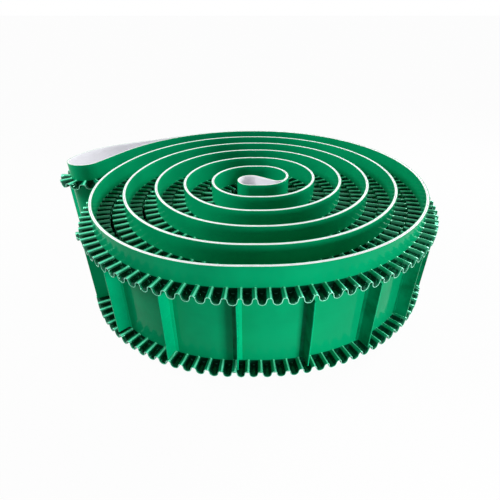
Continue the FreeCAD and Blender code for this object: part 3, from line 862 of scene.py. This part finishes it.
def pvc_finish(name, tone, roughness, shading=(), trailing_shade=None):
    """Glossy green PVC: slow mottling, faint lengthwise rubs that dull the gloss, and a slight ripple.

    Painted shade lies on it behind the waves of a sidewall, within half their swing of each height given. A
    painted shadow film, where one is given, lies where the first coordinate is negative.
    """
    finish = Finish(name)
    place = finish.place()
    along, across = finish.surface()
    mottle = finish.noise(place, 6.0)
    base = finish.mix(mottle.ramp(0.30, 0.72), shaded(tone, 0.90), shaded(tone, 1.10))
    rub = finish.noise(finish.stretched(along, across, 3.0, 90.0), 1.0, 4.0).ramp(0.52, 0.80)
    base = finish.mix(rub * 0.14, base, shaded(tone, 1.35))
    swing = 0.5 * sizes().wave_swing
    # Painted shade: a near-black band on the cover behind each sidewall's waves, where they shade it
    for height in shading:
        shade_band = 1.0 - (across - height).magnitude().ramp(swing - 0.001, swing + 0.001)
        base = finish.mix(shade_band * 0.92, base, tuple(colours().sidewall_channel_shade))
    cloudy = finish.noise(place, 22.0, 4.0).ramp(0.35, 0.75)
    # Painted shade: a dark film where the first coordinate is negative, the trailing side of a cleat
    if trailing_shade:
        base = finish.mix((1.0 - along.ramp(-0.001, 0.001)) * (0.75 + 0.2 * cloudy), base, trailing_shade)
    finish.set(Base_Color=base, Roughness=roughness + 0.06 * cloudy + 0.07 * rub, IOR=1.12)
    finish.set(Specular_IOR_Level=0.5, Specular_Tint=tuple(colours().highlight))
    ripple = finish.noise(place, 120.0, 2.0) + 0.3 * finish.noise(place, 700.0, 1.0)
    finish.bump(ripple, 0.00018, 0.45)
    return finish.material


def sidewall_finish():
    """Satin green PVC sidewalls: painted shade towards the root of each channel, painted highlights on crests and
    tip.

    A channel is where the count of waves is a half: a valley seen from above and a crest seen from below.
    """
    finish = Finish("green sidewall")
    tones, tall = colours(), sizes().sidewall_height
    tone = tuple(tones.sidewall)
    place = finish.place()
    waves, rise = finish.surface()
    mottle = finish.noise(place, 9.0)
    base = finish.mix(mottle.ramp(0.30, 0.72), shaded(tone, 0.86), shaded(tone, 1.14))
    # Painted shade: the channels darken to near black towards the root, where shade falls
    channel = (0.5 - 0.5 * (waves * FULL_TURN + 0.5 * math.pi).sine()).ramp(0.05, 0.28)
    root_shade = 1.0 - rise.ramp(0.82 * tall, tall)
    speckle = finish.noise(place, 60.0, 4.0)
    base = finish.mix(channel * root_shade * (0.80 + 0.2 * speckle), base, tuple(tones.sidewall_channel_shade))
    # Painted highlight: a pale line along each crest, shifted a little to one side and broken into patches by
    # noise
    highlight_patches = finish.noise(place, 45.0, 3.0).ramp(0.25, 0.6)
    ridge = ((waves - 0.05) * FULL_TURN + 0.5 * math.pi).sine().ramp(0.945, 0.995) * (0.8 + 0.2 * highlight_patches)
    base = finish.mix(ridge, base, tuple(tones.sidewall_ridge_highlight))
    # Painted highlight: a thin pale line along the tip edge
    tip = rise.ramp(tall - 0.0006, tall - 0.0002) * (0.7 + 0.3 * highlight_patches)
    base = finish.mix(tip, base, tuple(tones.sidewall_tip_highlight))
    finish.set(Base_Color=base, Roughness=0.11 + 0.10 * speckle, IOR=1.5)
    finish.set(Specular_IOR_Level=0.9, Specular_Tint=tuple(tones.highlight))
    ripple = finish.noise(place, 140.0, 2.0) + 0.3 * finish.noise(place, 800.0, 1.0)
    finish.bump(ripple, 0.0002, 0.5)
    return finish.material


def fabric_finish():
    """Fine plain weave: warp and weft as crossed sines that take turns on top, with slubs along the warp."""
    finish = Finish("white woven backing")
    tones = colours()
    along, across = finish.surface()
    thread = FULL_TURN / THREAD_PITCH
    warp = (along * thread).sine()
    weft = (across * thread).sine()
    weave = (warp * weft) * 0.5 + 0.5
    slub = finish.noise(finish.stretched(along, across, 12.0, 700.0), 1.0, 3.0)
    stain = finish.noise(finish.place(), 9.0, 4.0)
    base = finish.mix(weave, tuple(tones.fabric_shade), tuple(tones.fabric))
    base = finish.mix(stain.ramp(0.52, 0.85) * 0.18, base, shaded(tones.fabric_shade, 0.92))
    finish.set(Base_Color=base, Roughness=0.74 + 0.12 * slub)
    finish.set(Sheen_Weight=0.25, Sheen_Roughness=0.5)
    finish.bump(weave + 0.5 * slub, 0.00022, 0.9)
    return finish.material


def ply_finish():
    """Cut edge of PVC-soaked plies: pale, with fibre ends."""
    finish = Finish("white cut plies")
    tone = tuple(colours().ply)
    along, across = finish.surface()
    fibre = finish.noise(finish.stretched(along, across, 1500.0, 500.0), 1.0, 2.0)
    base = finish.mix(fibre.ramp(0.35, 0.7), shaded(tone, 0.93), tone)
    finish.set(Base_Color=base, Roughness=0.6 + 0.2 * fibre)
    finish.bump(fibre, 0.0002, 0.8)
    return finish.material


def build_strip(line, part_name, slot, material, tube, shape, **smoothing):
    """Pieces of a layer or a sidewall, one for each span, from the function that makes a length of it."""
    for span in belt_spans(line):
        shell = Shell()
        for begin, end in span.lengths:
            shell.add(*tube(line, begin, end, *shape))
        piece = shell.build(span.name + "." + part_name, material, **smoothing)
        attach(piece, span, line, part_name)


class BELT_OT_layers(bpy.types.Operator):
    """Build the belt's cover, carcass and backing fabric"""

    bl_idname = "belt.layers"
    bl_label = "Belt layers"

    def execute(self, context):
        size, line = sizes(), BeltLine()
        cover_tone = tuple(colours().cover)
        middle = size.backing + size.carcass
        roots = (size.lower_edge, size.belt_width - size.upper_edge)
        layers = [
            ("backing_fabric", 0.0, size.backing, fabric_finish()),
            ("carcass", size.backing, middle, ply_finish()),
            ("cover", middle, line.thickness, pvc_finish("green cover", cover_tone, 0.07, shading=roots)),
        ]
        for part_name, low, high, material in layers:
            build_strip(line, part_name, part_name, material, layer_tube, (low, high))
        return {"FINISHED"}


class BELT_OT_sidewalls(bpy.types.Operator):
    """Build the two corrugated sidewalls"""

    bl_idname = "belt.sidewalls"
    bl_label = "Corrugated sidewalls"

    def execute(self, context):
        size, line = sizes(), BeltLine()
        material = sidewall_finish()
        places = [
            ("lower_sidewall", size.lower_edge, line.crest + line.wave / 2, 1.0),
            ("upper_sidewall", size.belt_width - size.upper_edge, line.crest, 5.0),
        ]
        for part_name, *shape in places:
            build_strip(line, part_name, "sidewall", material, ruffle_tube, shape, sharp=math.radians(60))
        return {"FINISHED"}


class BELT_OT_cleats(bpy.types.Operator):
    """Build the cross cleats"""

    bl_idname = "belt.cleats"
    bl_label = "Cross cleats"

    def execute(self, context):
        line = BeltLine()
        tones = colours()
        material = pvc_finish("green cleat", tuple(tones.cleat), 0.22, trailing_shade=tuple(tones.cleat_trailing_shade))
        for (node, body), distances in cleat_nodes(line).items():
            shell = Shell()
            for distance in distances:
                shell.add(*cleat_tube(line, distance, distance))
            piece = shell.build(node + ".finished", material)
            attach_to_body(piece, body)
            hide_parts(node)
        return {"FINISHED"}


def add_lamp(name, power, width, place, target):
    """A square soft lamp at a place, facing a target."""
    lamp = bpy.data.lights.new(name, "AREA")
    lamp.energy = power
    lamp.size = width
    holder = bpy.data.objects.new(name, lamp)
    holder.location = place
    aim = np.array(target) - np.array(place)
    holder.rotation_euler = (
        math.acos(-aim[2] / np.linalg.norm(aim)), 0, math.atan2(aim[1], aim[0]) - math.pi / 2
    )
    bpy.context.scene.collection.objects.link(holder)


def seen_directly(maker):
    """One for rays from the camera, a mirror or glass, and zero for light that falls on the object."""
    rays = ("Is Camera Ray", "Is Glossy Ray", "Is Transmission Ray")
    camera, mirror, glass = [maker.node("ShaderNodeLightPath", output=name) for name in rays]
    seen = camera + mirror + glass
    return seen.maths("MINIMUM", seen, 1.0)


class BELT_OT_stage(bpy.types.Operator):
    """Set up the floor, the backdrop, the lamps and the camera"""

    bl_idname = "belt.stage"
    bl_label = "Stage"

    def execute(self, context):
        scene = context.scene
        stage = scene.belt_stage
        scene.view_settings.view_transform = "Standard"
        self.floor(tuple(stage.floor_tone), stage.floor_glow)
        self.world(scene, stage.sky)
        middle, front = (0, 0, 0.2), (0, -0.4, 0.2)
        add_lamp("key lamp", stage.key_power, stage.key_width, stage.key_place, front)
        add_lamp("left lamp", stage.left_power, stage.side_width, stage.left_place, middle)
        add_lamp("right lamp", stage.right_power, stage.side_width, stage.right_place, middle)
        camera = bpy.data.cameras.new("camera")
        camera.lens = stage.lens
        camera.sensor_width = 36.0
        holder = bpy.data.objects.new("camera", camera)
        holder.location = stage.camera
        holder.rotation_euler = (math.pi / 2 - stage.camera_tilt, 0, 0)
        scene.collection.objects.link(holder)
        scene.camera = holder
        return {"FINISHED"}

    def floor(self, tone, glow):
        """A wide pale floor, mostly plain white as the camera sees it, which keeps a faint shadow."""
        reach = 40.0
        corners = [(-reach, -reach, 0), (reach, -reach, 0), (reach, reach, 0), (-reach, reach, 0)]
        mesh = bpy.data.meshes.new("floor")
        mesh.from_pydata(corners, [], [(0, 1, 2, 3)])
        finish = Finish("pale floor")
        finish.set(Base_Color=tone, Roughness=0.9)
        white = finish.node("ShaderNodeEmission", None, {"Color": (1, 1, 1), "Strength": 1.0})
        pale = Value(finish, finish.shader.outputs[0])
        both = finish.node("ShaderNodeMixShader", None, {0: seen_directly(finish) * glow, 1: pale, 2: white})
        finish.tree.links.new(both.socket, finish.tree.nodes["Material Output"].inputs["Surface"])
        mesh.materials.append(finish.material)
        floor = bpy.data.objects.new("floor", mesh)
        bpy.context.scene.collection.objects.link(floor)

    def world(self, scene, strength):
        """A white backdrop for direct view, and a softer sky as the light."""
        world = bpy.data.worlds.new("sky")
        world.use_nodes = True
        scene.world = world
        sky = Finish.around(world.node_tree, "Background")
        seen = seen_directly(sky)
        sky.set(Color=(1, 1, 1), Strength=strength + (1.0 - strength) * seen)


class BELT_PT_pieces(bpy.types.Panel):
    """Buttons that build the pieces of the belt"""

    bl_idname = "BELT_PT_pieces"
    bl_label = "Rolled belt"
    bl_space_type = "VIEW_3D"
    bl_region_type = "UI"
    bl_category = "Belt"

    def draw(self, context):
        for operator in OPERATORS:
            self.layout.operator(operator.bl_idname)


SETTINGS = {"belt_sizes": BeltSizes, "belt_colours": BeltColours, "belt_stage": StageSettings}
OPERATORS = (BELT_OT_layers, BELT_OT_sidewalls, BELT_OT_cleats, BELT_OT_stage)
CLASSES = (*SETTINGS.values(), *OPERATORS, BELT_PT_pieces)


def register():
    for cls in CLASSES:
        bpy.utils.register_class(cls)
    for name, settings in SETTINGS.items():
        setattr(bpy.types.Scene, name, PointerProperty(type=settings))


def unregister():
    for name in SETTINGS:
        delattr(bpy.types.Scene, name)
    for cls in reversed(CLASSES):
        bpy.utils.unregister_class(cls)


def main():
    register()
    bpy.ops.belt.layers()
    bpy.ops.belt.sidewalls()
    bpy.ops.belt.cleats()
    bpy.ops.belt.stage()


if __name__ == "__main__":
    main()
